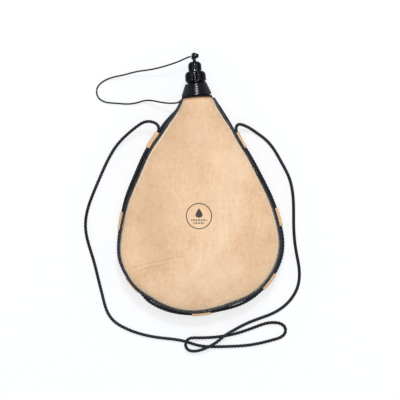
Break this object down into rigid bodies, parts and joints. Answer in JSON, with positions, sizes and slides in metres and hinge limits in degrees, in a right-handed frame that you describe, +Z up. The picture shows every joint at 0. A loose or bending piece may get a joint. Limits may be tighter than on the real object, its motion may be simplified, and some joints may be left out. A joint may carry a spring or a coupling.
{
  "type": "leather bota bag",
  "caption": "Teardrop leather wine-skin on its back, with a wound neck, a screw filler cap with drinking jet, a stopper cap on a tether and a looped strap cord.",
  "frame": {"origin": "on the surface that the bag lies on, under the middle of the bag and nozzle without the free cords", "axes": "+Y from the bag's bottom to its nozzle, +Z up from the back panel to the front panel, +X to the right seen from above"},
  "size_m": [0.3046, 0.4209, 0.0524],
  "materials": {
    "tan_leather": "smooth, lightly waxed",
    "loop_leather": "matte",
    "latex": "matte",
    "black_piping": "waxed",
    "strap_cord": "matte, twisted",
    "tether_cord": "matte, twisted",
    "waxed_cord": "glossy wax",
    "black_plastic": "glossy",
    "seal_rubber": "matte"
  },
  "bodies": {
    "bag": {"front_panel": "tan_leather", "back_panel": "tan_leather", "latex_bladder": "latex", "front_piping": "black_piping", "back_piping": "black_piping", "cord_loop_1": "loop_leather", "cord_loop_2": "loop_leather", "cord_loop_3": "loop_leather", "cord_loop_4": "loop_leather", "cord_loop_5": "loop_leather", "cord_loop_6": "loop_leather", "cord_loop_7": "loop_leather", "strap_cord_seam": "strap_cord", "strap_cord_free": "strap_cord", "mouthpiece": "black_plastic", "neck_winding": "waxed_cord", "tether_neck_loop": "tether_cord", "tether_cord_lower": "tether_cord"},
    "filler_carrier": {"filler_gasket": "seal_rubber"},
    "filler": {"filler_cap": "black_plastic", "spout": "black_plastic"},
    "stopper_carrier": {"stopper_seal": "seal_rubber", "tether_knob_loop": "tether_cord", "tether_cord_upper": "tether_cord"},
    "stopper": {"stopper_cap": "black_plastic"}
  },
  "joints": [
    {"name": "filler_lift", "type": "slide", "parent": "bag", "child": "filler_carrier", "axis": [-0.0698, 0.9976, 0], "range_m": [0, 0.0081]},
    {"name": "filler_turn", "type": "hinge", "parent": "filler_carrier", "child": "filler", "pos_m": [-0.0042, 0.12066, 0.0254], "axis": [-0.0698, 0.9976, 0], "range_deg": [0, 720]},
    {"name": "stopper_lift", "type": "slide", "parent": "filler_carrier", "child": "stopper_carrier", "axis": [-0.0698, 0.9976, 0], "range_m": [0, 0.0091]},
    {"name": "stopper_turn", "type": "hinge", "parent": "stopper_carrier", "child": "stopper", "pos_m": [-0.0042, 0.12066, 0.0254], "axis": [-0.0698, 0.9976, 0], "range_deg": [0, 1080]}
  ],
  "couplings": [
    {"joint": "filler_lift", "follows": "filler_turn", "m_per_rad": 0.00063662},
    {"joint": "stopper_lift", "follows": "stopper_turn", "m_per_rad": 0.00047746}
  ]
}
